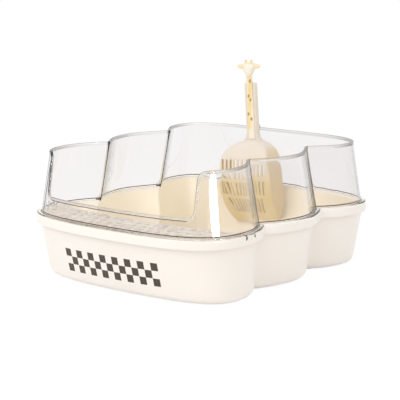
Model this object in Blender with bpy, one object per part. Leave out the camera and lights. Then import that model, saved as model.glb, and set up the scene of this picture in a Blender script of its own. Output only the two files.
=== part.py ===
# Semi-enclosed litter box: a lobed tray, a clear surround with a low entrance, a tread grid
# inside the entrance, and a slotted scoop that hangs on the back wall by a hook.
# Metres, +Z up. The front (entrance) faces -Y and the origin lies on the floor under the plan's centre.

import math

import bmesh
import bpy
from mathutils import Matrix, Vector
from mathutils.geometry import interpolate_bezier

# Driving dimensions
RIM_LENGTH = 0.498            # front to back over the tray's rim
RIM_WIDTH = 0.414             # side to side over the tray's rim
SEAT_HEIGHT = 0.108           # floor to the top face of the surround's flange
WALL_RISE = 0.1000            # flange to the top of the clear wall's lip
GAP = 0.0003                  # between faces that touch on the real object
CUT_OVERRUN = 0.010           # how far every cutter passes what it cuts

# Plan outline of the clear wall's foot. Three lobes a side, with a valley between two of them.
# x is a share of half the foot's width, y a share of the foot's length from its front.
BULGE_X_SHARES = (0.975, 0.985, 1.0)
BULGE_Y_SHARES = (0.206, 0.533, 0.837)
BULGE_BEFORE_SHARES = (0.160, 0.095, 0.075)
BULGE_AFTER_SHARES = (0.075, 0.055, 0.165)
VALLEY_X_SHARES = (0.835, 0.835)
VALLEY_Y_SHARES = (0.356, 0.689)
VALLEY_ROUND = 0.0035         # half the length of the rounded bottom of a valley
VALLEY_IN_SHARES = (0.67, 0.74)
VALLEY_OUT_SHARES = (0.60, 0.80)
VALLEY_REACH = 0.012          # how far a lobe runs straight on from a valley
VALLEY_SPREAD_SHARE = 1.28    # how much more than a bulge a valley moves in an offset outline
FRONT_HANDLE_SHARE = 0.74
BACK_HANDLE_SHARE = 0.47
ARC_SHARE = 0.5523            # handle length of a quarter circle, as a share of its radius
CORNER_STEPS = 11
SIDE_STEPS = 5
VALLEY_STEPS = 3

# Tray. Its wall narrows downwards by the taper times a share of its own at each outline node.
TRAY_WALL = 0.0025
RIM_OUT = 0.0094              # rim's outer edge beyond the clear wall's foot
SKIRT_OUT = 0.0082
SKIRT_DEPTH = 0.0145
SKIRT_WALL = 0.0020
RIM_THICKNESS = 0.0024
RIM_ROUND = 0.0020
BODY_OUT = 0.0040             # tray body under the rim, beyond the clear wall's foot
BODY_TAPER = math.radians(10)
FRONT_TAPER_SHARE = 1.50
BULGE_TAPER_SHARES = (0.40, 0.70, 0.95)
VALLEY_TAPER_SHARES = (0.27, 0.76)
BACK_TAPER_SHARE = 1.20
VALLEY_SHIFT = (-0.003, -0.007)   # body's valleys against the rim's, reached behind the skirt
BOTTOM_ROUND = 0.015
FOOT_BAND = 0.010             # width of the band that the tray stands on
FOOT_RECESS = 0.0015
FLOOR_THICKNESS = 0.0028
ROUND_STEPS = 4

# Clear surround
FLANGE_OUT = 0.0080
FLANGE_THICKNESS = 0.0020
FLANGE_ROUND = 0.0007
CLEAR_WALL = 0.0022
WALL_LEAN = 0.0160            # how far the wall leans in over its whole rise
LIP_RADIUS = 0.0025
SPIGOT_DEPTH = 0.0025         # ring that drops inside the tray and centres the surround
SPIGOT_PLAY = 0.0005
SPIGOT_WALL = 0.0018
LEDGE_WIDTH = 0.0030          # inside the wall's foot at the front, for the tread grid
LEDGE_THICKNESS = 0.0014
LEDGE_RUN = 0.0040            # how far the ledge runs on past the grid's ends
ENTRANCE_WIDTH = 0.295
ENTRANCE_SHIFT = 0.0035       # middle of the entrance to the right of the tray's middle
SILL_HEIGHT = 0.030
SILL_ROUND = 0.010
ENTRANCE_SHOULDER = 0.010
LIP_RUN = 0.012               # how far the entrance lip runs on inside the rim's lip
ENTRANCE_LIP_SHARE = 0.96     # radius of the entrance's lip, of the rim's lip
EDGE_STEPS = 5
SILL_STEPS = 12

# Tabs of the surround that turn down over the tray's rim at the front lobes
TAB_LENGTH = 0.022
TAB_THICKNESS = 0.0016
TAB_DROP = 0.0060
TAB_PROUD = 0.0004
TAB_PLAY = 0.0005

# Tread grid
GRID_DEPTH = 0.072
GRID_BOW = 0.022              # how much deeper the grid is at its ends
GRID_THICKNESS = 0.0022
GRID_RIB_DEPTH = 0.0060
GRID_RIB_WALL = 0.0022
GRID_EDGE_STEPS = 12
HOLE_WIDTH = 0.0088
HOLE_LENGTH = 0.0145
HOLE_PITCH = 0.0168
HOLE_ROW_PITCH = 0.0200
HOLE_MARGIN = 0.0060
HOLE_SIDES = 8

# Scoop, in its own frame: z up the handle, y = 0 at the pan's open side, origin at the hook's throat
SCOOP_X = -0.0525
SCOOP_ROLL = math.radians(-4.2)
PAN_WIDTH = 0.113
PAN_LENGTH = 0.149
PAN_DEPTH = 0.042
PAN_WALL = 0.0022
PAN_CORNER = 0.007
PAN_TOP = 0.0240              # hook throat down to the top of the pan
PAN_CORNER_STEPS = 4
PAN_STATION_SHARES = (0, 0.025, 0.06, 0.11, 0.17, 0.24, 0.33, 0.50, 0.60, 0.70, 0.80, 0.90, 0.965, 1)
PAN_WIDTH_SHARES = (0.27, 0.48, 0.65, 0.80, 0.89, 0.95, 0.98, 1, 1, 0.985, 0.96, 0.92, 0.87, 0.77)
PAN_DEPTH_SHARES = (0.38, 0.54, 0.68, 0.82, 0.93, 0.98, 1, 1, 0.94, 0.80, 0.60, 0.38, 0.22, 0.14)
SLOT_WIDTH = 0.0042
SLOT_PITCH = 0.0090
SLOT_ROW_SHARES = ((0.21, 0.40), (0.45, 0.63), (0.67, 0.86))
SLOT_SPREAD_SHARES = ((1, 1), (1, 0.95), (0.93, 0.80))
SLOT_ROW_COUNTS = (11, 11, 9)
SLOT_END_STEPS = 3
HANDLE_WIDTH = 0.0220
HANDLE_THICKNESS = 0.0085
HANDLE_RISE = 0.0780          # hook throat up to the handle's top end
HANDLE_ROUND = 0.0022
FLARE_RISE = 0.018
FLARE_SPREAD = 0.0085
FLARE_STEPS = 5
CHANNEL_TOP_WIDTH = 0.0120
CHANNEL_FOOT_WIDTH = 0.0135
CHANNEL_DEPTH = 0.0024
CHANNEL_FOOT = 0.0220         # channel's lower end below the throat
HOOK_WIDTH = 0.0120
HOOK_THICKNESS = 0.0026
HOOK_DROP = 0.0080
HOOK_PLAY = 0.0012
HOOK_OUTER_PLAY = 0.0016
HOOK_HEIGHT_PLAY = 0.0007
BACK_PLAY = 0.0040            # pan's open side to the tray wall behind its tip

# Giraffe figure: the neck lies in the handle's channel and the head stands above the handle
NECK_THICKNESS = 0.0032
HEAD_RISE = 0.0270            # chin to crown
HEAD_LIFT = 0.0095            # handle's top end up to the chin
HEAD_WIDTH = 0.0280
HEAD_DEPTH = 0.0170
HEAD_SQUARENESS = 2.4
HEAD_STEPS = 16
HEAD_STATION_SHARES = (0, 0.07, 0.22, 0.42, 0.62, 0.80, 0.92, 1)
HEAD_WIDTH_SHARES = (0.22, 0.36, 0.48, 0.66, 0.92, 1, 0.84, 0.46)
HEAD_DEPTH_SHARES = (0.40, 0.66, 0.90, 0.98, 1, 0.92, 0.74, 0.40)
EAR_LENGTH = 0.0170
EAR_HEIGHT = 0.0085
EAR_THICKNESS = 0.0050
EAR_RISE_SHARE = 0.74
EAR_TILT = math.radians(4)
HORN_RADIUS = 0.0016
HORN_HEIGHT = 0.0050
HORN_BALL = 0.0024
HORN_SPACING = 0.0125
SPHERE_SEGMENTS = 12
SPHERE_RINGS = 8

# Sizes worked out from those above
FOOT_LENGTH = RIM_LENGTH - 2 * RIM_OUT
FOOT_WIDTH = RIM_WIDTH - 2 * RIM_OUT
FLANGE_UNDER = SEAT_HEIGHT - FLANGE_THICKNESS
RIM_TOP = FLANGE_UNDER - GAP
RIM_UNDER = RIM_TOP - RIM_THICKNESS
WALL_TOP = SEAT_HEIGHT + WALL_RISE
LIP_CENTRE = WALL_TOP - LIP_RADIUS
SILL_TOP = SEAT_HEIGHT + SILL_HEIGHT
LEDGE_TOP = SEAT_HEIGHT - GRID_THICKNESS - GAP
SKIRT_LOW = RIM_TOP - SKIRT_DEPTH

COLOURS = {
    "tray": ((0.86, 0.80, 0.68, 1.0), 0.35, 1.0),
    "surround": ((0.86, 0.87, 0.88, 1.0), 0.08, 0.25),
    "tread_grid": ((0.80, 0.80, 0.82, 1.0), 0.15, 0.45),
    "scoop": ((0.88, 0.80, 0.64, 1.0), 0.40, 1.0),
    "giraffe_figure": ((0.87, 0.66, 0.30, 1.0), 0.45, 1.0),
}


def clear_scene():
    for obj in list(bpy.data.objects):
        bpy.data.objects.remove(obj, do_unlink=True)


def new_collection(name):
    collection = bpy.data.collections.new(name)
    bpy.context.scene.collection.children.link(collection)
    return collection


def move_to(obj, collection):
    for other in list(obj.users_collection):
        other.objects.unlink(obj)
    collection.objects.link(obj)


def finish_piece(obj, collection):
    colour, roughness, alpha = COLOURS[obj.name]
    material = bpy.data.materials.new(obj.name)
    material.use_nodes = True
    shader = material.node_tree.nodes["Principled BSDF"]
    shader.inputs["Base Color"].default_value = colour
    shader.inputs["Roughness"].default_value = roughness
    shader.inputs["Alpha"].default_value = alpha
    obj.data.materials.clear()
    obj.data.materials.append(material)
    move_to(obj, collection)


def mesh_object(name, bm):
    bmesh.ops.recalc_face_normals(bm, faces=bm.faces)
    mesh = bpy.data.meshes.new(name)
    bm.to_mesh(mesh)
    bm.free()
    mesh.shade_smooth()
    mesh.set_sharp_from_angle(angle=math.radians(35))
    obj = bpy.data.objects.new(name, mesh)
    bpy.context.scene.collection.objects.link(obj)
    return obj


def cutter(obj, collection):
    obj.hide_render = True
    obj.display_type = "WIRE"
    move_to(obj, collection)
    return obj


def combine(obj, other, operation):
    modifier = obj.modifiers.new(operation.lower() + "_" + other.name, "BOOLEAN")
    modifier.operation = operation
    modifier.solver = "EXACT"
    modifier.object = other


def curve_to_mesh(curve_object, name):
    # A curve's filled caps are loose, so they are welded on the mesh that replaces it.
    bpy.context.view_layer.update()
    graph = bpy.context.evaluated_depsgraph_get()
    mesh = bpy.data.meshes.new_from_object(curve_object.evaluated_get(graph))
    bm = bmesh.new()
    bm.from_mesh(mesh)
    bmesh.ops.remove_doubles(bm, verts=bm.verts, dist=1e-6)
    bm.transform(curve_object.matrix_world)
    bpy.data.objects.remove(curve_object, do_unlink=True)
    return mesh_object(name, bm)


def prism(name, points, half_depth, matrix):
    # A flat outline in the curve's own x and y, extruded both ways along its z.
    data = bpy.data.curves.new(name + "_outline", "CURVE")
    data.dimensions = "2D"
    data.fill_mode = "BOTH"
    data.extrude = half_depth
    spline = data.splines.new("POLY")
    spline.points.add(len(points) - 1)
    for point, (x, y) in zip(spline.points, points):
        point.co = (x, y, 0, 1)
    spline.use_cyclic_u = True
    obj = bpy.data.objects.new(name + "_outline", data)
    obj.matrix_world = matrix
    bpy.context.scene.collection.objects.link(obj)
    return curve_to_mesh(obj, name)


def tube(name, points, radius):
    data = bpy.data.curves.new(name + "_path", "CURVE")
    data.dimensions = "3D"
    data.bevel_depth = radius
    data.bevel_resolution = 2
    data.use_fill_caps = True
    spline = data.splines.new("POLY")
    spline.points.add(len(points) - 1)
    for point, place in zip(spline.points, points):
        point.co = (*place, 1)
    obj = bpy.data.objects.new(name + "_path", data)
    bpy.context.scene.collection.objects.link(obj)
    return curve_to_mesh(obj, name)


def arc(centre, radius, start, end, steps):
    turns = (start + (end - start) * i / steps for i in range(steps + 1))
    return [(centre[0] + radius * math.cos(a), centre[1] + radius * math.sin(a)) for a in turns]


def loft(name, sections, ring=False):
    # Skins a row of closed sections with as many points each. A ring joins its last to its first.
    bm = bmesh.new()
    loops = [[bm.verts.new(point) for point in section] for section in sections]
    pairs = list(zip(loops, loops[1:]))
    if ring:
        pairs.append((loops[-1], loops[0]))
    for lower, upper in pairs:
        for i in range(len(lower)):
            j = (i + 1) % len(lower)
            bm.faces.new((lower[i], lower[j], upper[j], upper[i]))
    if not ring:
        bm.faces.new(loops[0])
        bm.faces.new(loops[-1])
    return mesh_object(name, bm)


def outline_nodes(out, narrowing, shift):
    # Bezier nodes of the right half, front to back. The outline is moved outwards by out,
    # inwards by each node's share of narrowing, and its valleys by a share of VALLEY_SHIFT.
    half = FOOT_WIDTH / 2
    front_y = -out + narrowing * FRONT_TAPER_SHARE
    back_y = FOOT_LENGTH + out - narrowing * BACK_TAPER_SHARE
    corner = ARC_SHARE * out
    front = Vector((0, front_y))
    back = Vector((0, back_y))
    nodes = [(front, front, Vector((half * FRONT_HANDLE_SHARE + corner, front_y)))]
    before = [FOOT_LENGTH * share for share in BULGE_BEFORE_SHARES]
    after = [FOOT_LENGTH * share for share in BULGE_AFTER_SHARES]
    before[0] += corner - narrowing * FRONT_TAPER_SHARE
    after[2] += corner - narrowing * BACK_TAPER_SHARE / 2
    for i in range(3):
        x = half * BULGE_X_SHARES[i] + out - narrowing * BULGE_TAPER_SHARES[i]
        bulge = Vector((x, FOOT_LENGTH * BULGE_Y_SHARES[i]))
        nodes.append((bulge, bulge - Vector((0, before[i])), bulge + Vector((0, after[i]))))
        if i < 2:
            nodes.extend(valley_nodes(i, out, narrowing, shift))
    nodes.append((back, Vector((half * BACK_HANDLE_SHARE + corner, back_y)), back))
    return nodes


def valley_nodes(i, out, narrowing, shift):
    half = FOOT_WIDTH / 2
    way_in = Vector((-VALLEY_IN_SHARES[0], VALLEY_IN_SHARES[1]))
    way_out = Vector(VALLEY_OUT_SHARES)
    spread = VALLEY_SPREAD_SHARE * out - narrowing * VALLEY_TAPER_SHARES[i]
    bottom = Vector((half * VALLEY_X_SHARES[i] + spread, FOOT_LENGTH * VALLEY_Y_SHARES[i]))
    bottom += Vector(VALLEY_SHIFT) * shift
    enter = bottom - way_in * VALLEY_ROUND
    leave = bottom + way_out * VALLEY_ROUND
    turn = VALLEY_ROUND * ARC_SHARE
    return [
        (enter, enter - way_in * VALLEY_ROUND, enter + way_in * turn),
        (leave, leave - way_out * turn, leave + way_out * VALLEY_REACH),
    ]


def half_outline(out, narrowing=0, shift=0):
    nodes = outline_nodes(out, narrowing, shift)
    steps = [CORNER_STEPS, SIDE_STEPS, VALLEY_STEPS, SIDE_STEPS, SIDE_STEPS, VALLEY_STEPS,
             SIDE_STEPS, CORNER_STEPS]
    points = [nodes[0][0].to_3d()]
    for (a, _, after), (b, before, _), count in zip(nodes, nodes[1:], steps):
        run = interpolate_bezier(a.to_3d(), after.to_3d(), before.to_3d(), b.to_3d(), count + 1)
        points.extend(run[1:])
    return points


def to_world(x, y, z):
    # y is measured from the front of the clear wall's foot.
    return Vector((x, y - FOOT_LENGTH / 2, z))


def whole_ring(right, z):
    left = [Vector((-p.x, p.y, 0)) for p in reversed(right[1:-1])]
    return [to_world(p.x, p.y, z) for p in right + left]


def outline(out, z):
    return whole_ring(half_outline(out), z)


def half_body(z, inset):
    # Half outline of the tray's outer face at a height, moved inwards by inset.
    drop = max(RIM_UNDER - z, 0)
    shift = min(drop / (RIM_UNDER - SKIRT_LOW), 1)
    return half_outline(BODY_OUT - inset, drop * math.tan(BODY_TAPER), shift)


def body_outline(z, inset):
    return whole_ring(half_body(z, inset), z)


def y_at(points, x):
    # Distance from the front at which a stretch of half an outline passes x.
    for a, b in zip(points, points[1:]):
        if min(a.x, b.x) <= abs(x) <= max(a.x, b.x):
            return a.y + (b.y - a.y) * (abs(x) - a.x) / (b.x - a.x)
    return points[-1].y


def front_stretch(points):
    return points[:CORNER_STEPS + 1]


def back_stretch(points):
    return points[-CORNER_STEPS - 1:]


def bottom_round(radius, floor, wall):
    # Quarter turn from a level floor into the tapered wall, as (height, inset) pairs.
    turns = arc((0, floor + radius), radius, -math.pi / 2, -BODY_TAPER, ROUND_STEPS)
    straight = math.tan(BODY_TAPER)
    foot = radius / math.cos(BODY_TAPER)
    return [(z, wall + foot - x - (floor + radius - z) * straight) for x, z in turns]


def tray_rings():
    # From the middle of the tray's underside round to the middle of its floor.
    floor = FOOT_RECESS + FLOOR_THICKNESS
    outer = bottom_round(BOTTOM_ROUND, 0, 0)
    inner = bottom_round(BOTTOM_ROUND - TRAY_WALL, floor, TRAY_WALL)
    foot_in = outer[0][1] + FOOT_BAND
    skirt_in = SKIRT_OUT - SKIRT_WALL
    rings = [body_outline(FOOT_RECESS, foot_in + FOOT_RECESS), body_outline(0, foot_in)]
    rings += [body_outline(z, inset) for z, inset in outer]
    rings += [body_outline(SKIRT_LOW, 0), body_outline(RIM_UNDER, 0)]
    rings += [outline(skirt_in + SKIRT_WALL / 4, RIM_UNDER), outline(skirt_in, SKIRT_LOW)]
    rings += [outline(SKIRT_OUT, SKIRT_LOW)]
    edge = arc((RIM_OUT - RIM_ROUND, RIM_TOP - RIM_ROUND), RIM_ROUND, 0, math.pi / 2, 3)
    rings += [outline(out, z) for out, z in edge]
    rings += [body_outline(RIM_TOP, TRAY_WALL), body_outline(RIM_UNDER, TRAY_WALL)]
    rings += [body_outline(SKIRT_LOW, TRAY_WALL)]
    rings += [body_outline(z, inset) for z, inset in reversed(inner)]
    return rings


def make_tray(parts):
    tray = loft("tray", tray_rings())
    finish_piece(tray, parts)


def wall_out(z):
    return -WALL_LEAN * (z - SEAT_HEIGHT) / WALL_RISE


def surround_rings():
    # Closed section of the clear surround: spigot, flange, leaning wall and rolled lip.
    spigot_low = FLANGE_UNDER - SPIGOT_DEPTH
    spigot_out = BODY_OUT - TRAY_WALL - SPIGOT_PLAY
    lip_low = LIP_CENTRE - LIP_RADIUS
    foot = SEAT_HEIGHT + FLANGE_ROUND
    middle = wall_out(LIP_CENTRE) - CLEAR_WALL / 2
    profile = [(spigot_out - SPIGOT_WALL, spigot_low), (spigot_out, spigot_low)]
    profile += [(spigot_out, FLANGE_UNDER), (FLANGE_OUT, FLANGE_UNDER)]
    profile += [(FLANGE_OUT, SEAT_HEIGHT - FLANGE_ROUND)]
    profile += [(FLANGE_OUT - FLANGE_ROUND, SEAT_HEIGHT), (FLANGE_ROUND, SEAT_HEIGHT)]
    profile += [(wall_out(foot), foot), (wall_out(lip_low), lip_low)]
    profile += arc((middle, LIP_CENTRE), LIP_RADIUS, math.radians(-30), math.radians(210), 6)
    profile += [(wall_out(lip_low) - CLEAR_WALL, lip_low), (-CLEAR_WALL, SEAT_HEIGHT)]
    return [outline(out, z) for out, z in profile]


def entrance_edge():
    # Half of the entrance's edge, from the rim's lip down to the middle of the sill, as (x, z).
    half = ENTRANCE_WIDTH / 2
    shoulder = (half + ENTRANCE_SHOULDER, LIP_CENTRE - ENTRANCE_SHOULDER)
    foot = (half - SILL_ROUND, SILL_TOP - LIP_RADIUS + SILL_ROUND)
    edge = arc(shoulder, ENTRANCE_SHOULDER, math.pi / 2, math.pi, EDGE_STEPS)
    edge += arc(foot, SILL_ROUND, 0, -math.pi / 2, EDGE_STEPS)
    start = edge[-1][0]
    edge += [(start * (1 - i / SILL_STEPS), edge[-1][1]) for i in range(1, SILL_STEPS + 1)]
    return edge


def both_sides(edge):
    whole = edge + [(-x, z) for x, z in reversed(edge[:-1])]
    return [(x + ENTRANCE_SHIFT, z) for x, z in whole]


def make_surround(parts, cutters):
    surround = loft("surround", surround_rings(), ring=True)
    edge = entrance_edge()
    high = WALL_TOP + CUT_OVERRUN
    opening = both_sides([(edge[0][0], high)] + edge)
    reach = FOOT_LENGTH * BULGE_Y_SHARES[0]
    stand = Matrix.Translation(to_world(0, (reach - CUT_OVERRUN) / 2, 0))
    stand = stand @ Matrix.Rotation(math.pi / 2, 4, "X")
    entrance = cutter(prism("entrance", opening, (reach + CUT_OVERRUN) / 2, stand), cutters)
    combine(surround, entrance, "DIFFERENCE")
    path = []
    for x, z in both_sides([(edge[0][0] + LIP_RUN, edge[0][1])] + edge):
        wall = front_stretch(half_outline(wall_out(z) - CLEAR_WALL / 2))
        path.append(to_world(x, y_at(wall, x), z))
    lip = cutter(tube("entrance_lip", path, LIP_RADIUS * ENTRANCE_LIP_SHARE), cutters)
    combine(surround, lip, "UNION")
    combine(surround, cutter(make_ledge(), cutters), "UNION")
    for side, label in ((-1, "left"), (1, "right")):
        combine(surround, cutter(make_tab("tab_" + label, side), cutters), "UNION")
    finish_piece(surround, parts)


def make_ledge():
    # Crescent inside the wall's foot, as far round as the tread grid that lies on it.
    limit = grid_back(FOOT_WIDTH / 2) + LEDGE_RUN
    outer = [(p.x, p.y) for p in half_outline(0) if p.y < limit]
    inner = [(p.x, p.y) for p in half_outline(-CLEAR_WALL - LEDGE_WIDTH) if p.y < limit]
    points = outer + inner[::-1] + [(-x, y) for x, y in inner[1:]] + [(-x, y) for x, y in outer[:0:-1]]
    middle = Matrix.Translation(to_world(0, 0, LEDGE_TOP - LEDGE_THICKNESS / 2))
    return prism("ledge", points, LEDGE_THICKNESS / 2, middle)


def make_tab(name, side):
    # Tongue on the flange at a front lobe's widest point, turned down over the tray's rim.
    widest = FOOT_WIDTH / 2 * BULGE_X_SHARES[0]
    start = widest + FLANGE_OUT / 2
    inner = widest + RIM_OUT + TAB_PLAY
    outer = inner + TAB_THICKNESS
    under = FLANGE_UNDER + TAB_PROUD
    top = SEAT_HEIGHT + TAB_PROUD
    low = FLANGE_UNDER - TAB_DROP
    section = [(start, under), (inner, under), (inner, low), (outer, low),
               (outer, top - TAB_THICKNESS / 2), (outer - TAB_THICKNESS / 2, top), (start, top)]
    place = Matrix.Translation(to_world(0, FOOT_LENGTH * BULGE_Y_SHARES[0], 0))
    place = place @ Matrix.Rotation(math.pi / 2, 4, "X")
    return prism(name, [(side * x, z) for x, z in section], TAB_LENGTH / 2, place)


def grid_back(x):
    # Distance from the front of the grid's free edge, which bows with the tray's front.
    return GRID_DEPTH + GRID_BOW * (x / (FOOT_WIDTH / 2)) ** 2


def grid_outline():
    # The front follows the inside of the surround's foot, the back edge is the free one.
    front = [p for p in half_outline(-CLEAR_WALL - GAP) if p.y < grid_back(p.x)]
    end = Vector((front[-1].x, grid_back(front[-1].x), 0))
    right = [(p.x, p.y) for p in front]
    xs = [end.x * (1 - i / GRID_EDGE_STEPS) for i in range(GRID_EDGE_STEPS)]
    back = [(x, grid_back(x)) for x in xs]
    return right + back + [(0, grid_back(0))] + [(-x, y) for x, y in reversed((right + back)[1:])]


def grid_rib():
    # Stiffening rib under the free edge, clear of the ledge at both ends.
    reach = FOOT_WIDTH / 2 * BULGE_X_SHARES[0] - CLEAR_WALL - LEDGE_WIDTH - GRID_RIB_WALL * 2
    xs = [reach * (i / GRID_EDGE_STEPS * 2 - 1) for i in range(GRID_EDGE_STEPS + 1)]
    near = [(x, grid_back(x) - GRID_RIB_WALL * 5 / 4) for x in xs]
    far = [(x, grid_back(x) - GRID_RIB_WALL / 4) for x in reversed(xs)]
    return near + far


def make_tread_grid(parts, cutters):
    top = LEDGE_TOP + GAP + GRID_THICKNESS
    middle = Matrix.Translation(to_world(0, 0, top - GRID_THICKNESS / 2))
    grid = prism("tread_grid", grid_outline(), GRID_THICKNESS / 2, middle)
    rib_height = GRID_RIB_DEPTH - GRID_THICKNESS / 2
    rib_middle = Matrix.Translation(to_world(0, 0, top - GRID_RIB_DEPTH + rib_height / 2))
    rib = prism("grid_rib", grid_rib(), rib_height / 2, rib_middle)
    combine(grid, cutter(rib, cutters), "UNION")
    combine(grid, cutter(grid_holes(top), cutters), "DIFFERENCE")
    finish_piece(grid, parts)


def grid_holes(top):
    # Staggered rows of oval holes, as long as the plate has room for them.
    front = front_stretch(half_outline(-CLEAR_WALL - LEDGE_WIDTH))
    oval = Matrix.Diagonal((HOLE_WIDTH / 2, HOLE_LENGTH / 2, 1, 1))
    bm = bmesh.new()
    row = 0
    from_back = HOLE_MARGIN + HOLE_LENGTH / 2
    while from_back < GRID_DEPTH:
        for x in row_places(HOLE_PITCH / 2 if row % 2 else 0):
            y = grid_back(x) - from_back
            if y - HOLE_LENGTH / 2 > y_at(front, x) + HOLE_MARGIN / 2:
                place = Matrix.Translation(to_world(x, y, top)) @ oval
                bmesh.ops.create_cone(bm, cap_ends=True, segments=HOLE_SIDES, radius1=1, radius2=1,
                                      depth=2 * CUT_OVERRUN, matrix=place)
        from_back += HOLE_ROW_PITCH
        row += 1
    return mesh_object("grid_holes", bm)


def row_places(start):
    limit = FOOT_WIDTH / 2 * BULGE_X_SHARES[0] - LEDGE_WIDTH - HOLE_MARGIN - HOLE_WIDTH
    count = int((limit - start) / HOLE_PITCH)
    right = [start + i * HOLE_PITCH for i in range(count + 1)]
    return sorted(set(right + [-x for x in right]))


def open_side_y():
    # The pan's open side stands a little in front of the tray wall behind its tip.
    tip_z = WALL_TOP - PAN_TOP - PAN_LENGTH
    wall = back_stretch(half_body(tip_z, TRAY_WALL))
    return y_at(wall, abs(SCOOP_X) + PAN_WIDTH / 2) - BACK_PLAY


def lip_y():
    # Middle of the back wall's lip, in the scoop's own frame.
    lip = back_stretch(half_outline(wall_out(LIP_CENTRE) - CLEAR_WALL / 2))
    return y_at(lip, SCOOP_X) - open_side_y()


def handle_back():
    # The handle's back face is also the inner side of the hook.
    return lip_y() - LIP_RADIUS - HOOK_PLAY


def handle_front():
    return handle_back() - HANDLE_THICKNESS


def scoop_matrix():
    # From the scoop's own frame to the world. Its throat rests on the lip of the back wall.
    place = to_world(SCOOP_X, open_side_y(), WALL_TOP + HOOK_HEIGHT_PLAY)
    return Matrix.Translation(place) @ Matrix.Rotation(SCOOP_ROLL, 4, "Y")


def share_curve(shares, values, at):
    for a, b, low, high in zip(shares, shares[1:], values, values[1:]):
        if a <= at <= b:
            return low + (high - low) * (at - a) / (b - a)
    return values[-1]


def pan_section(station, inset):
    # Closed section of the pan at a share of its length: a flat open side and rounded corners.
    half = PAN_WIDTH / 2 * share_curve(PAN_STATION_SHARES, PAN_WIDTH_SHARES, station) - inset
    depth = PAN_DEPTH * share_curve(PAN_STATION_SHARES, PAN_DEPTH_SHARES, station) - inset
    radius = min(PAN_CORNER, depth * 2 / 3, half * 2 / 3)
    z = -PAN_TOP - PAN_LENGTH * station
    turn = arc((half - radius, radius - depth), radius, 0, -math.pi / 2, PAN_CORNER_STEPS)
    right = [(half, 0)] + turn
    return [Vector((x, y, z)) for x, y in right + [(-x, y) for x, y in reversed(right)]]


def pan_hollow():
    # The hollow starts below the shoulder and runs out through the open side.
    first = PAN_WALL / PAN_LENGTH
    stations = [first] + [s for s in PAN_STATION_SHARES if s > first][:-1] + [1 - first / 2]
    sections = []
    for station in stations:
        section = pan_section(station, PAN_WALL)
        section[0].y += CUT_OVERRUN
        section[-1].y += CUT_OVERRUN
        sections.append(section)
    return loft("pan_hollow", sections)


def slot_outline(low, high):
    # A slot with round ends between two points of the pan's face.
    radius = SLOT_WIDTH / 2
    lean = math.atan2(low[0] - high[0], high[1] - low[1])
    points = arc(high, radius, lean, math.pi + lean, SLOT_END_STEPS)
    return points + arc(low, radius, math.pi + lean, 2 * math.pi + lean, SLOT_END_STEPS)


def pan_slots():
    # Rows of slots through the pan's underside. The lower rows draw together towards the tip.
    slots = []
    place = Matrix.Translation((0, -PAN_DEPTH / 2, 0)) @ Matrix.Rotation(math.pi / 2, 4, "X")
    for row, (start, end) in enumerate(SLOT_ROW_SHARES):
        high = -PAN_TOP - PAN_LENGTH * start - SLOT_WIDTH / 2
        low = -PAN_TOP - PAN_LENGTH * end + SLOT_WIDTH / 2
        count = SLOT_ROW_COUNTS[row]
        for i in range(count):
            x = (i - (count - 1) / 2) * SLOT_PITCH
            ends = [(x * share, z) for share, z in zip(SLOT_SPREAD_SHARES[row], (high, low))]
            name = "slot_%d_%d" % (row, i)
            slots.append(prism(name, slot_outline(ends[1], ends[0]), PAN_DEPTH / 2 + CUT_OVERRUN, place))
    return join_objects("pan_slots", slots)


def join_objects(name, objects):
    bm = bmesh.new()
    for obj in objects:
        bm.from_mesh(obj.data)
        bpy.data.objects.remove(obj, do_unlink=True)
    return mesh_object(name, bm)


def handle_outline():
    # Front view of the handle: it flares where it grows out of the pan's shoulder.
    half = HANDLE_WIDTH / 2
    foot = -PAN_TOP - PAN_WALL
    right = []
    for i in range(FLARE_STEPS + 1):
        rise = i / FLARE_STEPS
        right.append((half + FLARE_SPREAD * (1 - rise) ** 2, foot + FLARE_RISE * rise))
    right += arc((half - HANDLE_ROUND, HANDLE_RISE - HANDLE_ROUND), HANDLE_ROUND, 0, math.pi / 2, 3)
    return right + [(-x, z) for x, z in reversed(right)]


def facing_front(name, points, front, depth):
    # An upright outline in x and z, given depth behind the plane y = front.
    place = Matrix.Translation((0, front + depth / 2, 0)) @ Matrix.Rotation(math.pi / 2, 4, "X")
    return prism(name, points, depth / 2, place)


def make_hook():
    # Arm from the handle's back over the wall's lip, with a leg down the outside.
    start = handle_back() - HANDLE_THICKNESS / 4
    inner = lip_y() + LIP_RADIUS + HOOK_OUTER_PLAY
    outer = inner + HOOK_THICKNESS
    points = [(start, 0), (inner, 0), (inner, -HOOK_DROP), (outer, -HOOK_DROP),
              (outer, HOOK_THICKNESS / 3), (outer - HOOK_THICKNESS / 2, HOOK_THICKNESS),
              (start, HOOK_THICKNESS)]
    turn = Matrix(((0, 0, 1, 0), (1, 0, 0, 0), (0, 1, 0, 0), (0, 0, 0, 1)))
    return prism("hook", points, HOOK_WIDTH / 2, turn)


def make_scoop(parts, cutters):
    scoop = loft("scoop", [pan_section(station, 0) for station in PAN_STATION_SHARES])
    place = scoop_matrix()
    scoop.matrix_world = place
    tools = [
        (pan_hollow(), "DIFFERENCE"),
        (pan_slots(), "DIFFERENCE"),
        (facing_front("handle", handle_outline(), handle_front(), HANDLE_THICKNESS), "UNION"),
        (make_channel(), "DIFFERENCE"),
        (make_hook(), "UNION"),
    ]
    for tool, operation in tools:
        tool.matrix_world = place
        combine(scoop, cutter(tool, cutters), operation)
    finish_piece(scoop, parts)


def make_channel():
    return strip("channel", 0, -CUT_OVERRUN, CUT_OVERRUN + CHANNEL_DEPTH, HANDLE_RISE + CUT_OVERRUN)


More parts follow.
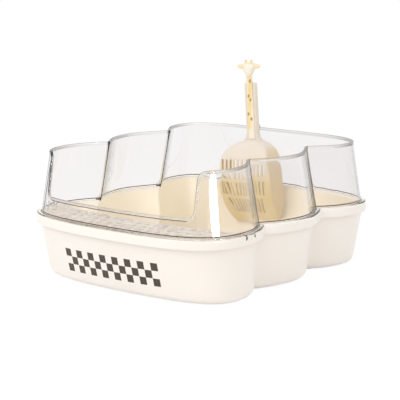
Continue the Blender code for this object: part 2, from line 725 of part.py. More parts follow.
def strip(name, inset, setback, depth, high):
    # Tapered strip up the front of the handle, from setback behind its face.
    low = inset - CHANNEL_FOOT
    slope = (CHANNEL_FOOT_WIDTH - CHANNEL_TOP_WIDTH) / (HANDLE_RISE + CHANNEL_FOOT)
    foot = CHANNEL_FOOT_WIDTH / 2 - inset
    top = foot - slope * (high - low) / 2
    points = [(foot, low), (top, high), (-top, high), (-foot, low)]
    return facing_front(name, points, handle_front() + setback, depth)


def head_sections(base):
    front = handle_front() + CHANNEL_DEPTH / 2
    sections = []
    for station, wide, deep in zip(HEAD_STATION_SHARES, HEAD_WIDTH_SHARES, HEAD_DEPTH_SHARES):
        half = HEAD_WIDTH / 2 * wide
        reach = HEAD_DEPTH / 2 * deep
        section = []
        for i in range(HEAD_STEPS):
            turn = 2 * math.pi * i / HEAD_STEPS
            x = math.copysign(abs(math.cos(turn)) ** (2 / HEAD_SQUARENESS), math.cos(turn))
            y = math.copysign(abs(math.sin(turn)) ** (2 / HEAD_SQUARENESS), math.sin(turn))
            section.append(Vector((half * x, front + reach * y, base + HEAD_RISE * station)))
        sections.append(section)
    return sections


def ball(name, size, matrix):
    bm = bmesh.new()
    bmesh.ops.create_uvsphere(bm, u_segments=SPHERE_SEGMENTS, v_segments=SPHERE_RINGS, radius=0.5)
    bmesh.ops.scale(bm, vec=size, verts=bm.verts)
    bm.transform(matrix)
    return mesh_object(name, bm)


def make_giraffe(parts, cutters):
    # One moulding: the neck strip fills the channel and the head rises from its top end.
    place = scoop_matrix()
    base = HANDLE_RISE + HEAD_LIFT
    middle = handle_front() + CHANNEL_DEPTH / 2
    figure = strip("giraffe_figure", GAP, CHANNEL_DEPTH - GAP - NECK_THICKNESS, NECK_THICKNESS,
                   base + HEAD_RISE / 3)
    figure.matrix_world = place
    tools = [loft("head", head_sections(base))]
    ear_z = base + HEAD_RISE * EAR_RISE_SHARE
    horn_z = base + HEAD_RISE
    for side, label in ((-1, "left"), (1, "right")):
        reach = HEAD_WIDTH / 2 + EAR_LENGTH / 6
        ear_place = Matrix.Translation((side * reach, middle, ear_z))
        ear_place = ear_place @ Matrix.Rotation(-side * EAR_TILT, 4, "Y")
        tools.append(ball("ear_" + label, (EAR_LENGTH, EAR_THICKNESS, EAR_HEIGHT), ear_place))
        tools.append(make_horn("horn_" + label, side * HORN_SPACING / 2, middle, horn_z))
    for tool in tools:
        tool.matrix_world = place
        combine(figure, cutter(tool, cutters), "UNION")
    finish_piece(figure, parts)


def make_horn(name, x, y, z):
    # A turned peg with a round knob.
    profile = [(0, HORN_HEIGHT)]
    knob_z = HORN_HEIGHT - HORN_BALL
    for i in range(1, 6):
        turn = math.pi / 2 - i * math.radians(28)
        profile.append((HORN_BALL * math.cos(turn), knob_z + HORN_BALL * math.sin(turn)))
    profile += [(HORN_RADIUS, -HORN_HEIGHT), (0, -HORN_HEIGHT)]
    bm = bmesh.new()
    row = [bm.verts.new((r, 0, h)) for r, h in profile]
    for a, b in zip(row, row[1:]):
        bm.edges.new((a, b))
    geometry = bm.verts[:] + bm.edges[:]
    bmesh.ops.spin(bm, geom=geometry, cent=(0, 0, 0), axis=(0, 0, 1), angle=2 * math.pi,
                   steps=HEAD_STEPS // 2, use_duplicate=False)
    bmesh.ops.remove_doubles(bm, verts=bm.verts, dist=1e-5)
    bmesh.ops.translate(bm, vec=(x, y, z), verts=bm.verts)
    return mesh_object(name, bm)


def main():
    clear_scene()
    parts = new_collection("semi_enclosed_litter_box")
    cutters = new_collection("cutters")
    make_tray(parts)
    make_surround(parts, cutters)
    make_tread_grid(parts, cutters)
    make_scoop(parts, cutters)
    make_giraffe(parts, cutters)


main()
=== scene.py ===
import math

import bpy
from mathutils import Matrix, Vector


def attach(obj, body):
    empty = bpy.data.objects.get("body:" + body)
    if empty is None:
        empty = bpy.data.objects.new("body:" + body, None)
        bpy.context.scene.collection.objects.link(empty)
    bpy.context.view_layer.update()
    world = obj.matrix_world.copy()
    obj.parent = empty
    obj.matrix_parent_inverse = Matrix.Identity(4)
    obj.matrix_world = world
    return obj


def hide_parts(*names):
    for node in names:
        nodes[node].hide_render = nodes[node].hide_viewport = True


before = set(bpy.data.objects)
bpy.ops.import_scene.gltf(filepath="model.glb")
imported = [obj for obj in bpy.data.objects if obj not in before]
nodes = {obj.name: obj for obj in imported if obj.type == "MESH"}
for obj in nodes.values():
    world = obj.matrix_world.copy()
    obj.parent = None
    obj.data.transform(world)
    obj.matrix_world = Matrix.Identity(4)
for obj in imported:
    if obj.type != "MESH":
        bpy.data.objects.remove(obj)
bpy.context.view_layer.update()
print("frame loaded:", ", ".join(sorted(nodes)))

# how the copy of a CAD node is merged and creased, alike for all pieces
meshLook = {
    "mergeWithin": 0.00001,
    "flatWithin": math.radians(40),     # triangles that are joined to quads
    "creaseFrom": math.radians(60),     # edges that stay sharp
}


def isWithin(place, low, high):
    # x counts on both sides of the middle
    values = abs(place.x), place.y, place.z
    return all(low[i] <= values[i] <= high[i] for i in range(3))


def selectStraight(piece, boxes):
    # edges in one of the boxes are selected beside the sharp ones, and so stay straight
    corners = piece.data.vertices
    for edge in piece.data.edges:
        ends = [corners[i].co for i in edge.vertices]
        if any(all(isWithin(end, low, high) for end in ends) for low, high in boxes):
            edge.select = True


def refine(nodeName, pieceName, look):
    # a copy of the CAD node, with its triangles merged, and its curves made finer if it has levels
    bpy.ops.object.select_all(action="DESELECT")
    piece = bpy.data.objects.new(pieceName, nodes[nodeName].data.copy())
    bpy.context.scene.collection.objects.link(piece)
    bpy.context.view_layer.objects.active = piece
    piece.select_set(True)
    bpy.context.scene.tool_settings.mesh_select_mode = (False, True, False)
    bpy.ops.object.mode_set(mode="EDIT")
    bpy.ops.mesh.select_all(action="SELECT")
    bpy.ops.mesh.remove_doubles(threshold=meshLook["mergeWithin"])
    bpy.ops.mesh.tris_convert_to_quads(face_threshold=meshLook["flatWithin"], shape_threshold=math.pi)
    bpy.ops.mesh.select_all(action="DESELECT")
    bpy.ops.mesh.edges_select_sharp(sharpness=meshLook["creaseFrom"])
    bpy.ops.object.mode_set(mode="OBJECT")
    if look["levels"]:
        selectStraight(piece, look["straightBoxes"])
        creases = piece.data.attributes.new("crease_edge", "FLOAT", "EDGE")
        for edge in piece.data.edges:
            creases.data[edge.index].value = float(edge.select)
        finer = piece.modifiers.new("finer", "SUBSURF")
        finer.levels = finer.render_levels = look["levels"]
        finer.use_limit_surface = False
        bpy.ops.object.modifier_apply(modifier="finer")
    bpy.ops.object.shade_smooth_by_angle(angle=look["smoothWithin"])
    return piece


def finishPiece(piece, nodeName, body, material):
    # normals led by the large faces, so that flat plastic stays flat beside its rounds
    even = piece.modifiers.new("even", "WEIGHTED_NORMAL")
    even.mode = "FACE_AREA"
    even.keep_sharp = True
    bpy.ops.object.modifier_apply(modifier="even")
    piece.data.materials.clear()
    piece.data.materials.append(material)
    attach(piece, body)
    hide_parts(nodeName)
    piece.select_set(False)
    print(piece.name, "made,", len(piece.data.polygons), "faces")


def newMaterial(name, settings):
    material = bpy.data.materials.new(name)
    material.use_nodes = True
    shader = material.node_tree.nodes["Principled BSDF"]
    for socket, value in settings.items():
        shader.inputs[socket].default_value = value
    return material, material.node_tree, shader


def objectCoordinates(tree):
    return tree.nodes.new("ShaderNodeTexCoord").outputs["Object"]


def faceAttribute(tree, name):
    node = tree.nodes.new("ShaderNodeAttribute")
    node.attribute_name = name
    return node.outputs["Fac"]


def surfaceNormal(tree):
    return tree.nodes.new("ShaderNodeNewGeometry").outputs["Normal"]


def splitXyz(tree, source):
    node = tree.nodes.new("ShaderNodeSeparateXYZ")
    tree.links.new(source, node.inputs["Vector"])
    return node.outputs["X"], node.outputs["Y"], node.outputs["Z"]


def mapRange(tree, source, fromLow, fromHigh, toLow, toHigh, smooth=False):
    node = tree.nodes.new("ShaderNodeMapRange")
    node.interpolation_type = "SMOOTHSTEP" if smooth else "LINEAR"
    values = fromLow, fromHigh, toLow, toHigh
    for socket, value in zip(("From Min", "From Max", "To Min", "To Max"), values):
        node.inputs[socket].default_value = value
    tree.links.new(source, node.inputs["Value"])
    return node.outputs["Result"]


def mathNode(tree, operation, a, b=0):
    node = tree.nodes.new("ShaderNodeMath")
    node.operation = operation
    for socket, value in zip(node.inputs, (a, b)):
        if isinstance(value, (int, float)):
            socket.default_value = value
        else:
            tree.links.new(value, socket)
    return node.outputs["Value"]


def product(tree, first, *others):
    for other in others:
        first = mathNode(tree, "MULTIPLY", first, other)
    return first


def between(tree, source, low, high, edge):
    rise = mapRange(tree, source, low - edge, low + edge, 0, 1)
    fall = mapRange(tree, source, high - edge, high + edge, 1, 0)
    return product(tree, rise, fall)


def lessen(tree, source, zone, share):
    # brought down to a share of itself where the zone is 1
    return product(tree, source, mapRange(tree, zone, 0, 1, 1, share))


def mixColours(tree, factor, low, high):
    node = tree.nodes.new("ShaderNodeMix")
    node.data_type = "RGBA"
    tree.links.new(factor, node.inputs["Factor"])
    for socket, value in ((node.inputs["A"], low), (node.inputs["B"], high)):
        if isinstance(value, tuple):
            socket.default_value = (*value, 1)
        else:
            tree.links.new(value, socket)
    return node.outputs["Result"]


def noise(tree, source, scale, detail):
    node = tree.nodes.new("ShaderNodeTexNoise")
    node.inputs["Scale"].default_value = scale
    node.inputs["Detail"].default_value = detail
    tree.links.new(source, node.inputs["Vector"])
    return node.outputs["Fac"]


noiseSpread = 0.3, 0.7      # the noise's values seldom lie outside these


def clouds(tree, source, size, low=0, high=1):
    # soft spots, size being the noise's scale and detail
    return mapRange(tree, noise(tree, source, *size), *noiseSpread, low, high)


def addGrain(tree, shader, source, scale, depth):
    # the fine grain that a moulded surface has
    bump = tree.nodes.new("ShaderNodeBump")
    bump.inputs["Strength"].default_value = 1
    bump.inputs["Distance"].default_value = depth
    tree.links.new(noise(tree, source, scale, detail=2), bump.inputs["Height"])
    tree.links.new(bump.outputs["Normal"], shader.inputs["Normal"])


# tray: cream moulding with the checker band printed on its front, and painted warm shade in its basin,
# deeper in the far right corner
trayLook = {
    "smoothWithin": math.radians(40),   # edges that turn more look sharp
    "levels": 2,                        # how often its faces are divided
    "straightBoxes": (((0, -0.26, 0.1032), (0.21, 0.26, 0.1034)),),     # ring level with the spigot's foot
    "cream": (0.945, 0.90, 0.85),
    "creamWarm": (0.935, 0.885, 0.83),
    "cloud": (7, 3),                    # scale and detail of the spots in its colour
    "shine": 0.42,
    "gloss": (40, 4),                   # and of those in its roughness
    "roughness": (0.30, 0.38),
    "grain": (1400, 0.00001),           # scale and depth
    # the basin's faces: the cream in painted warm shade
    "inside": (0.97, 0.90, 0.765),
    "insideCornerShade": (0.87, 0.785, 0.65),  # painted shade in the far right corner of the basin, which starts at these x and y
    "cornerShadeFromX": (0.04, 0.14),
    "cornerShadeFromY": (0.12, 0.20),
    "basinTop": 0.1,
    "wallTurn": 0.004,                  # how plainly a wall faces the middle before it counts as inside
    "floorTurn": (0.2, 0.5),            # how far up a face looks before it counts as floor
    "ink": (0.064, 0.05, 0.036),
    "columns": 15,
    "rows": 3,
    "cell": (0.01274, 0.01297),
    "printLow": (-0.1004, 0.0224),      # lower left corner, x and z
    "printTilt": math.radians(0.8),
    "printBefore": -0.15,               # y in front of which the band shows
    "edge": 0.00012,
}


def facesInside(tree, place, look):
    # 1 on the faces that look into the basin
    normal = surfaceNormal(tree)
    outward = tree.nodes.new("ShaderNodeVectorMath")
    outward.operation = "DOT_PRODUCT"
    tree.links.new(normal, outward.inputs[0])
    tree.links.new(place, outward.inputs[1])
    upward = splitXyz(tree, normal)[2]
    walls = mapRange(tree, outward.outputs["Value"], look["wallTurn"], -look["wallTurn"], 0, 1)
    floor = mapRange(tree, upward, *look["floorTurn"], 0, 1)
    belowRim = mathNode(tree, "LESS_THAN", splitXyz(tree, place)[2], look["basinTop"])
    return product(tree, mathNode(tree, "MAXIMUM", walls, floor), belowRim)


def checkerBand(tree, x, z, look):
    # 1 on the dark squares
    width, height = look["cell"]
    left, low = look["printLow"]
    level = mathNode(tree, "SUBTRACT", z, product(tree, x, math.tan(look["printTilt"])))
    column = mathNode(tree, "DIVIDE", mathNode(tree, "SUBTRACT", x, left), width)
    row = mathNode(tree, "DIVIDE", mathNode(tree, "SUBTRACT", level, low), height)
    count = mathNode(tree, "ADD", mathNode(tree, "FLOOR", column), mathNode(tree, "FLOOR", row))
    even = mathNode(tree, "COMPARE", mathNode(tree, "PINGPONG", count, 1), 0)
    across = between(tree, x, left, left + look["columns"] * width, look["edge"])
    upright = between(tree, level, low, low + look["rows"] * height, look["edge"])
    return product(tree, across, upright, even)


def trayMaterial(look):
    material, tree, shader = newMaterial("creamPlastic", {"Specular IOR Level": look["shine"]})
    place = objectCoordinates(tree)
    x, y, z = splitXyz(tree, place)
    outer = mixColours(tree, clouds(tree, place, look["cloud"]), look["cream"], look["creamWarm"])
    # painted shade: the basin gets a warmer colour than the outside, deeper in the far right corner
    cornerShade = product(tree, mapRange(tree, y, *look["cornerShadeFromY"], 0, 1, smooth=True),
                   mapRange(tree, x, *look["cornerShadeFromX"], 0, 1, smooth=True))
    golden = mixColours(tree, cornerShade, look["inside"], look["insideCornerShade"])
    basin = facesInside(tree, place, look)
    body = mixColours(tree, basin, outer, golden)
    atFront = mathNode(tree, "LESS_THAN", y, look["printBefore"])
    printed = product(tree, checkerBand(tree, x, z, look), atFront, mathNode(tree, "SUBTRACT", 1, basin))
    tree.links.new(mixColours(tree, printed, body, look["ink"]), shader.inputs["Base Color"])
    tree.links.new(clouds(tree, place, look["gloss"], *look["roughness"]), shader.inputs["Roughness"])
    addGrain(tree, shader, place, *look["grain"])
    return material


trayShell = refine("tray", "trayShell", trayLook)
finishPiece(trayShell, "tray", "tray", trayMaterial(trayLook))

# surround: clear moulding, with painted dark reflection where the eye looks along the plastic, and painted
# dark lines of shade at the walls' foot, under the entrance's lip, down the right valleys and at the tabs'
# ends
clearLook = {
    "smoothWithin": math.radians(50),
    "levels": 2,
    "straightBoxes": (                  # the front wall, and the tabs
        ((0, -0.26, 0.1063), (0.176, -0.19, 0.21)),
        ((0.17, -0.156, 0.1058), (0.21, -0.126, 0.1088)),
    ),
    "plastic": {"Roughness": 0.03, "Transmission Weight": 1.0, "IOR": 1.46, "Specular IOR Level": 0.5},
    "shade": (0.99, 0.985, 0.98),
    "tint": (0.915, 0.905, 0.91),
    # colour of the painted dark reflection along the edges
    "edgeShadeTint": (0.12, 0.10, 0.085),
    "edge": 0.0001,
    "frontWall": -0.19,                 # y in front of which the entrance lies
    "wallTurn": (0.58, 0.82),           # how far off square the plastic is seen where its painted dark reflection sets in
    "wallMost": 0.55,                   # and how dark it gets
    "frontCorners": (-0.26, -0.150),    # y of the front wall and its corners, which stay light
    "cornerFade": 0.004,
    "cornerShare": 0.1,
    "valleys": (-0.069, 0.091),         # y of the middles between the lobes
    "valleyHalf": 0.017,
    "valleyFade": 0.004,
    "valleyShare": 0.1,
    "lineHalf": 0.003,                  # painted dark line of shade down each valley on the right
    "lineFade": 0.001,
    "lineTurn": (0.15, 0.32),
    "lipTurn": (0.05, 0.50),            # the same as for the walls
    "lipMost": 0.70,
    "lipLow": 0.2030,                   # height above which all is lip
    "lipNear": 0.0027,                  # how far from its middle the entrance's lip reaches
    "lipBorder": math.radians(12),      # a border of the lips that turns more is a sharp edge
    "lipMiddle": 0.2055,                # height of the middle of the upper lip
    "sill": 0.1355,                     # and of the lip at the foot of the entrance
    "entranceHalf": 0.1475,
    "entranceShift": 0.0035,
    "cornerRound": 0.010,
    "sillHeights": (0.130, 0.142),      # between which the lip stays lighter
    "sillFade": 0.002,
    "sillShare": 0.4,
    # painted dark line of shade under the entrance's lip: its heights and colour
    "sillShadeHeights": (0.1322, 0.1336),
    "sillShadeTint": (0.24, 0.16, 0.10),
    "footShadeHeights": (0.1086, 0.1100),    # between which the wall's foot gets a painted dark line of shade
    # colour of the painted dark lines at the walls' foot and the tabs' ends
    "paintedDarkTint": (0.08, 0.06, 0.05),
    "flangeTop": 0.1083,
    # painted light: the flange, the same plastic as the walls, gets a paler tint that takes out the shade
    # seen through it
    "flangeTint": (1.0, 0.99, 0.975),
    "tabFrom": 0.2020,
    "tabMiddle": -0.1409,
    "tabEnd": (0.0088, 0.0113),         # how far from the tab's middle its painted dark end lies
    "tabHeights": (0.1020, 0.1062),
}


def awayFromEntrance(x, z, look):
    # distance of a place on the front wall from the middle of the entrance's lip
    across = abs(x - look["entranceShift"])
    half, turn = look["entranceHalf"], look["cornerRound"]
    foot, shoulder = look["sill"] + turn, look["lipMiddle"] - turn
    if z > shoulder:
        return abs(math.hypot(across - half - turn, z - shoulder) - turn)
    if z > foot:
        return abs(across - half)
    if across > half - turn:
        return abs(math.hypot(across - half + turn, z - foot) - turn)
    return abs(z - look["sill"])


def markLips(piece, look):
    # 1 on the faces of the rolled lips, which get painted dark reflection along their sides
    share = piece.data.attributes.new("lipShare", "FLOAT", "FACE")
    sides = {}
    for face in piece.data.polygons:
        x, y, z = face.center
        atEntrance = y < look["frontWall"] and awayFromEntrance(x, z, look) < look["lipNear"]
        lip = z > look["lipLow"] or atEntrance
        share.data[face.index].value = float(lip)
        for key in face.edge_keys:
            sides.setdefault(key, []).append((lip, face.normal.copy()))
    for edge in piece.data.edges:
        (oneLip, oneNormal), (otherLip, otherNormal) = sides[edge.key][:2]
        if oneLip != otherLip and oneNormal.angle(otherNormal, 0) > look["lipBorder"]:
            edge.use_edge_sharp = True


def wallEdgeShade(tree, turned, x, y, look):
    # painted dark reflection on the walls: less at the front and between the lobes, but for a painted dark
    # line of shade down each valley on the right
    wall = mapRange(tree, turned, *look["wallTurn"], 0, look["wallMost"])
    corners = between(tree, y, *look["frontCorners"], look["cornerFade"])
    wall = lessen(tree, wall, corners, look["cornerShare"])
    line = mapRange(tree, turned, *look["lineTurn"], 0, 1)
    onRight = mathNode(tree, "GREATER_THAN", x, 0)
    for middle in look["valleys"]:
        half = look["valleyHalf"]
        valley = between(tree, y, middle - half, middle + half, look["valleyFade"])
        wall = lessen(tree, wall, valley, look["valleyShare"])
        half = look["lineHalf"]
        deepest = between(tree, y, middle - half, middle + half, look["lineFade"])
        wall = mathNode(tree, "MAXIMUM", wall, product(tree, deepest, onRight, line))
    return wall


# painted dark reflection along the sides of the lips, less on the sill
def lipEdgeShade(tree, turned, z, look):
    lip = mapRange(tree, turned, *look["lipTurn"], 0, look["lipMost"])
    lip = product(tree, lip, faceAttribute(tree, "lipShare"))
    onSill = between(tree, z, *look["sillHeights"], look["sillFade"])
    return lessen(tree, lip, onSill, look["sillShare"])


def footShadeLine(tree, z, look):
    # 1 on the painted dark line of shade at the foot of the walls, which a mirrored ray doesn't show
    rays = tree.nodes.new("ShaderNodeLightPath").outputs
    mirrored = mathNode(tree, "GREATER_THAN", rays["Is Glossy Ray"], rays["Is Transmission Ray"])
    foot = between(tree, z, *look["footShadeHeights"], look["edge"])
    return product(tree, foot, mathNode(tree, "SUBTRACT", 1, mirrored))


def tabEndShade(tree, x, y, z, look):
    # 1 at the two short ends of each tab, where black shade is painted
    outside = mathNode(tree, "GREATER_THAN", mathNode(tree, "ABSOLUTE", x), look["tabFrom"])
    fromMiddle = mathNode(tree, "ABSOLUTE", mathNode(tree, "SUBTRACT", y, look["tabMiddle"]))
    ends = between(tree, fromMiddle, *look["tabEnd"], look["edge"])
    return product(tree, outside, ends, between(tree, z, *look["tabHeights"], look["edge"]))


def sillShadeLine(tree, x, y, z, look):
    # 1 on the painted dark line of shade between the entrance's lip and the front wall below it
    across = mathNode(tree, "ABSOLUTE", mathNode(tree, "SUBTRACT", x, look["entranceShift"]))
    atEntrance = mathNode(tree, "LESS_THAN", across, look["entranceHalf"] - look["cornerRound"])
    atFront = mathNode(tree, "LESS_THAN", y, look["frontWall"])
    return product(tree, between(tree, z, *look["sillShadeHeights"], look["edge"]), atEntrance, atFront)


def letLampsThrough(tree, shader, shade):
    # clear and frosted plastic cast almost no shadow
    path = tree.nodes.new("ShaderNodeLightPath")
    clear = tree.nodes.new("ShaderNodeBsdfTransparent")
    clear.inputs["Color"].default_value = (*shade, 1)
    mix = tree.nodes.new("ShaderNodeMixShader")
    soft = mathNode(tree, "MAXIMUM", path.outputs["Is Shadow Ray"], path.outputs["Is Diffuse Ray"])
    tree.links.new(soft, mix.inputs["Fac"])
    tree.links.new(shader.outputs["BSDF"], mix.inputs[1])
    tree.links.new(clear.outputs["BSDF"], mix.inputs[2])
    tree.links.new(mix.outputs["Shader"], tree.nodes["Material Output"].inputs["Surface"])


def clearMaterial(look):
    material, tree, shader = newMaterial("clearPlastic", look["plastic"])
    x, y, z = splitXyz(tree, objectCoordinates(tree))
    turned = tree.nodes.new("ShaderNodeLayerWeight").outputs["Facing"]
    aboveFlange = mathNode(tree, "GREATER_THAN", z, look["flangeTop"])
    dark = mathNode(tree, "MAXIMUM", wallEdgeShade(tree, turned, x, y, look), lipEdgeShade(tree, turned, z, look))
    plain = mixColours(tree, aboveFlange, look["flangeTint"], look["tint"])
    shaded = mixColours(tree, product(tree, dark, aboveFlange), plain, look["edgeShadeTint"])
    sillShaded = mixColours(tree, sillShadeLine(tree, x, y, z, look), shaded, look["sillShadeTint"])
    # painted dark lines of shade at the walls' foot and the tabs' ends
    black = mathNode(tree, "MAXIMUM", footShadeLine(tree, z, look), tabEndShade(tree, x, y, z, look))
    tree.links.new(mixColours(tree, black, sillShaded, look["paintedDarkTint"]), shader.inputs["Base Color"])
    letLampsThrough(tree, shader, look["shade"])
    return material


clearSurround = refine("surround", "clearSurround", clearLook)
markLips(clearSurround, clearLook)
finishPiece(clearSurround, "surround", "surround", clearMaterial(clearLook))

# tread grid: frosted plastic
gridLook = {
    "smoothWithin": math.radians(50),
    "levels": 0,
    "plastic": {"Roughness": 0.30, "Transmission Weight": 0.6, "IOR": 1.40},
    "tint": (0.96, 0.912, 0.855),
    "tintLow": (0.785, 0.705, 0.61),
    "cloud": (85, 2),
    "cloudRange": (0.42, 0.60),         # closer than elsewhere, so that the spots are plain
    "grain": (700, 0.00003),
    "shade": (0.97, 0.96, 0.95),
}


def gridMaterial(look):
    material, tree, shader = newMaterial("frostedPlastic", look["plastic"])
    place = objectCoordinates(tree)
    cloud = mapRange(tree, noise(tree, place, *look["cloud"]), *look["cloudRange"], 0, 1)
    tree.links.new(mixColours(tree, cloud, look["tint"], look["tintLow"]), shader.inputs["Base Color"])
    addGrain(tree, shader, place, *look["grain"])
    letLampsThrough(tree, shader, look["shade"])
    return material


treadGrid = refine("tread_grid", "treadGrid", gridLook)
finishPiece(treadGrid, "tread_grid", "surround", gridMaterial(gridLook))

# scoop: pale moulding whose pan turns golden downwards, with painted shade on its right side and in its
# slots
scoopLook = {
    "smoothWithin": math.radians(35),
    "levels": 0,
    "pale": (0.81, 0.745, 0.675),
    "paleWarm": (0.80, 0.72, 0.62),
    "golden": (0.82, 0.70, 0.45),
    "goldenDeep": (0.76, 0.59, 0.29),
    "goldenFrom": (0.156, 0.104),       # heights between which the pale plastic turns golden
    "cloud": (12, 3),
    "gloss": (60, 4),
    "roughness": (0.32, 0.42),
    "grain": (1600, 0.00001),
    # painted shade on the faces of the pan that look to the right
    "sideShadeTint": (0.73, 0.59, 0.39),
    "sideTurn": (0.4, 0.9),             # how far a face looks to the right where it gets its painted shade
    "sideMost": 0.8,
    "sideBelow": (0.190, 0.175),        # heights between which the painted shade sets in
    # painted shade on the walls of the slots
    "slot": (0.74, 0.50, 0.17),
    "slotZone": ((-0.084, -0.016), (0.06, 0.168)),      # x and z of the slotted plate
    "slotTurn": (0.8, 0.9),             # how far a slot's wall looks sideways, or up or down
}


def markSlots(piece, look):
    # 1 on the walls of the pan's slots, which lie square to its plate and get painted shade
    share = piece.data.attributes.new("slotShare", "FLOAT", "FACE")
    (left, right), (low, high) = look["slotZone"]
    sideways, upright = look["slotTurn"]
    for face in piece.data.polygons:
        within = left < face.center.x < right and low < face.center.z < high
        square = abs(face.normal.x) > sideways or abs(face.normal.z) > upright
        share.data[face.index].value = float(within and square)


def scoopMaterial(look):
    material, tree, shader = newMaterial("scoopPlastic", {})
    place = objectCoordinates(tree)
    z = splitXyz(tree, place)[2]
    cloud = clouds(tree, place, look["cloud"])
    upper = mixColours(tree, cloud, look["pale"], look["paleWarm"])
    lower = mixColours(tree, cloud, look["golden"], look["goldenDeep"])
    face = mixColours(tree, mapRange(tree, z, *look["goldenFrom"], 0, 1, smooth=True), upper, lower)
    # painted shade on the right side of the pan
    toRight = splitXyz(tree, surfaceNormal(tree))[0]
    side = mapRange(tree, toRight, *look["sideTurn"], 0, look["sideMost"], smooth=True)
    onPan = mapRange(tree, z, *look["sideBelow"], 0, 1, smooth=True)
    pan = mixColours(tree, product(tree, side, onPan), face, look["sideShadeTint"])
    # painted shade in the slots
    slotted = mixColours(tree, faceAttribute(tree, "slotShare"), pan, look["slot"])
    tree.links.new(slotted, shader.inputs["Base Color"])
    tree.links.new(clouds(tree, place, look["gloss"], *look["roughness"]), shader.inputs["Roughness"])
    addGrain(tree, shader, place, *look["grain"])
    return material


slottedScoop = refine("scoop", "slottedScoop", scoopLook)
markSlots(slottedScoop, scoopLook)
finishPiece(slottedScoop, "scoop", "scoop", scoopMaterial(scoopLook))

# giraffe: golden neck with brown spots, cream head with golden ears and horns
giraffeLook = {
    "smoothWithin": math.radians(45),
    "levels": 0,
    "roughness": 0.42,
    "grain": (1600, 0.00001),
    "gold": (0.88, 0.68, 0.30),
    "goldPale": (0.93, 0.77, 0.44),
    "cloud": (30, 3),
    "cream": (0.93, 0.86, 0.76),
    "middle": -0.0562,                  # x of the neck
    "neckEdge": (0.0020, 0.0052),       # how far from it the neck turns pale
    "neckEdgeMost": 0.75,
    "foot": (0.196, 0.212),             # heights between which the gold sets in
    "chin": (0.2942, 0.2992),           # and the cream of the head
    "crown": (0.3185, 0.3225),          # and the gold of the horns
    "crownMost": 0.6,
    "ears": (0.0075, 0.0115),           # how far from the middle the head turns golden
    "earsMost": 0.45,
    "spot": (0.42, 0.24, 0.06),
    "spots": (                          # x and z of the middle, half width and half height
        (-0.0589, 0.2633, 0.0026, 0.0034), (-0.0544, 0.2565, 0.0026, 0.0034),
        (-0.0586, 0.2311, 0.0026, 0.0034), (-0.0519, 0.2227, 0.0026, 0.0034),
        (-0.0560, 0.2900, 0.0030, 0.0040),
    ),
    "spotEdge": (0.5, 1.1),
    "spotMost": 0.85,
    "ragged": (420, 2),                 # scale and detail
    "raggedBy": 0.35,
}


def addSpots(tree, place, x, z, body, look):
    # ovals with a ragged edge
    ragged = clouds(tree, place, look["ragged"], -look["raggedBy"], look["raggedBy"])
    for middleX, middleZ, halfWidth, halfHeight in look["spots"]:
        across = mathNode(tree, "DIVIDE", mathNode(tree, "SUBTRACT", x, middleX), halfWidth)
        upright = mathNode(tree, "DIVIDE", mathNode(tree, "SUBTRACT", z, middleZ), halfHeight)
        away = mathNode(tree, "ADD", product(tree, across, across), product(tree, upright, upright))
        away = mathNode(tree, "ADD", away, ragged)
        spot = mapRange(tree, away, *look["spotEdge"], look["spotMost"], 0, smooth=True)
        body = mixColours(tree, spot, body, look["spot"])
    return body


def giraffeMaterial(look):
    material, tree, shader = newMaterial("goldenPlastic", {"Roughness": look["roughness"]})
    place = objectCoordinates(tree)
    x, y, z = splitXyz(tree, place)
    gold = mixColours(tree, clouds(tree, place, look["cloud"]), look["gold"], look["goldPale"])
    fromMiddle = mathNode(tree, "ABSOLUTE", mathNode(tree, "SUBTRACT", x, look["middle"]))
    edge = mapRange(tree, fromMiddle, *look["neckEdge"], 0, look["neckEdgeMost"], smooth=True)
    neck = addSpots(tree, place, x, z, mixColours(tree, edge, gold, look["cream"]), look)
    head = mapRange(tree, z, *look["chin"], 0, 1)
    foot = mapRange(tree, z, *look["foot"], 1, 0, smooth=True)
    body = mixColours(tree, mathNode(tree, "MAXIMUM", head, foot), neck, look["cream"])
    crown = mapRange(tree, z, *look["crown"], 0, look["crownMost"], smooth=True)
    ears = mapRange(tree, fromMiddle, *look["ears"], 0, look["earsMost"], smooth=True)
    golden = mathNode(tree, "MAXIMUM", crown, product(tree, ears, head))
    tree.links.new(mixColours(tree, golden, body, look["gold"]), shader.inputs["Base Color"])
    addGrain(tree, shader, place, *look["grain"])
    return material


giraffe = refine("giraffe_figure", "giraffe", giraffeLook)
finishPiece(giraffe, "giraffe_figure", "scoop", giraffeMaterial(giraffeLook))

# studio: white all round, a key lamp, a fill lamp and a strip that only shows as a highlight
studioLook = {
    "worldColour": (1.0, 0.985, 0.96),
    "worldStrength": 0.91,
    "floorSize": 12,
    "floorPlace": (0, 0, -0.0002),
    "floorSurface": {"Base Color": (0.9, 0.9, 0.9, 1), "Roughness": 0.9},
    "floorGlow": 1.02,
    "floorGlowShare": 0.93,
    "lamps": (                          # name, size, place, target, power, highlight only
        ("key", (1.8, 1.8), (-0.5, -2.8, 2.2), (0, 0, 0.1), 27, False),
        ("strip", (0.155, 0.167), (0.608, -0.306, 0.201), (0.17, -0.19, 0.15), 1.9, True),
        ("fill", (1.6, 1.6), (2.6, -0.4, 1.3), (0, 0, 0.1), 2, False),
    ),
    "cameraTurn": math.radians(38.01),  # to the right of the front
    "cameraRise": math.radians(11.13),
    "cameraPlace": (1.4828, -1.9028, 0.589),
    "lens": 132.93,
    "clipStart": 0.05,
}


def seenDirectly(tree):
    # 1 for the rays that look at the background: the camera's, and those by gloss or clear plastic
    path = tree.nodes.new("ShaderNodeLightPath")
    seen = mathNode(tree, "MAXIMUM", path.outputs["Is Camera Ray"], path.outputs["Is Glossy Ray"])
    return mathNode(tree, "MAXIMUM", seen, path.outputs["Is Transmission Ray"])


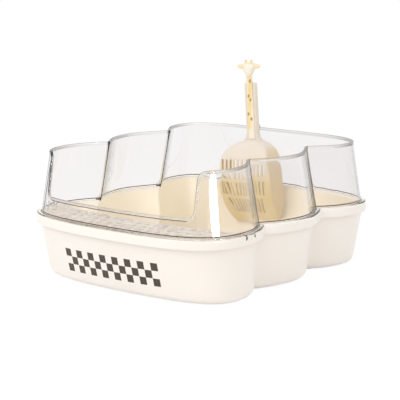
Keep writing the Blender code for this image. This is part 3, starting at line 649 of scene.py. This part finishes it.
def makeWorld(look):
    world = bpy.data.worlds.new("studio")
    bpy.context.scene.world = world
    world.use_nodes = True
    tree = world.node_tree
    plain = tree.nodes["Background"]
    plain.inputs["Color"].default_value = (*look["worldColour"], 1)
    plain.inputs["Strength"].default_value = look["worldStrength"]
    white = tree.nodes.new("ShaderNodeBackground")
    white.inputs["Color"].default_value = (1, 1, 1, 1)
    mix = tree.nodes.new("ShaderNodeMixShader")
    tree.links.new(seenDirectly(tree), mix.inputs["Fac"])
    tree.links.new(plain.outputs["Background"], mix.inputs[1])
    tree.links.new(white.outputs["Background"], mix.inputs[2])
    tree.links.new(mix.outputs["Shader"], tree.nodes["World Output"].inputs["Surface"])


def makeFloor(look):
    bpy.ops.object.select_all(action="DESELECT")
    bpy.ops.mesh.primitive_plane_add(size=look["floorSize"], location=look["floorPlace"])
    floor = bpy.context.object
    floor.name = "floor"
    material, tree, shader = newMaterial("floorWhite", look["floorSurface"])
    glow = tree.nodes.new("ShaderNodeEmission")
    glow.inputs["Strength"].default_value = look["floorGlow"]
    mix = tree.nodes.new("ShaderNodeMixShader")
    tree.links.new(product(tree, seenDirectly(tree), look["floorGlowShare"]), mix.inputs["Fac"])
    tree.links.new(shader.outputs["BSDF"], mix.inputs[1])
    tree.links.new(glow.outputs["Emission"], mix.inputs[2])
    tree.links.new(mix.outputs["Shader"], tree.nodes["Material Output"].inputs["Surface"])
    floor.data.materials.append(material)


def addLamp(name, size, place, target, power, highlightOnly):
    light = bpy.data.lights.new(name, "AREA")
    light.shape = "RECTANGLE"
    light.size, light.size_y = size
    light.energy = power
    lamp = bpy.data.objects.new(name, light)
    bpy.context.scene.collection.objects.link(lamp)
    lamp.location = place
    lamp.rotation_euler = (Vector(target) - Vector(place)).to_track_quat("-Z", "Y").to_euler()
    lamp.visible_camera = False
    lamp.visible_transmission = False
    lamp.visible_diffuse = not highlightOnly


def makeCamera(look):
    turn, rise = look["cameraTurn"], look["cameraRise"]
    side = Vector((math.cos(turn), math.sin(turn), 0))
    ahead = Vector((-math.sin(turn) * math.cos(rise), math.cos(turn) * math.cos(rise), -math.sin(rise)))
    data = bpy.data.cameras.new("camera")
    data.lens = look["lens"]
    data.clip_start = look["clipStart"]
    camera = bpy.data.objects.new("camera", data)
    bpy.context.scene.collection.objects.link(camera)
    pose = Matrix((side, side.cross(ahead), -ahead)).transposed().to_4x4()
    pose.translation = look["cameraPlace"]
    camera.matrix_world = pose
    bpy.context.scene.camera = camera


makeWorld(studioLook)
makeFloor(studioLook)
for lamp in studioLook["lamps"]:
    addLamp(*lamp)
makeCamera(studioLook)
bpy.context.scene.view_settings.view_transform = "Standard"
print("studio set")
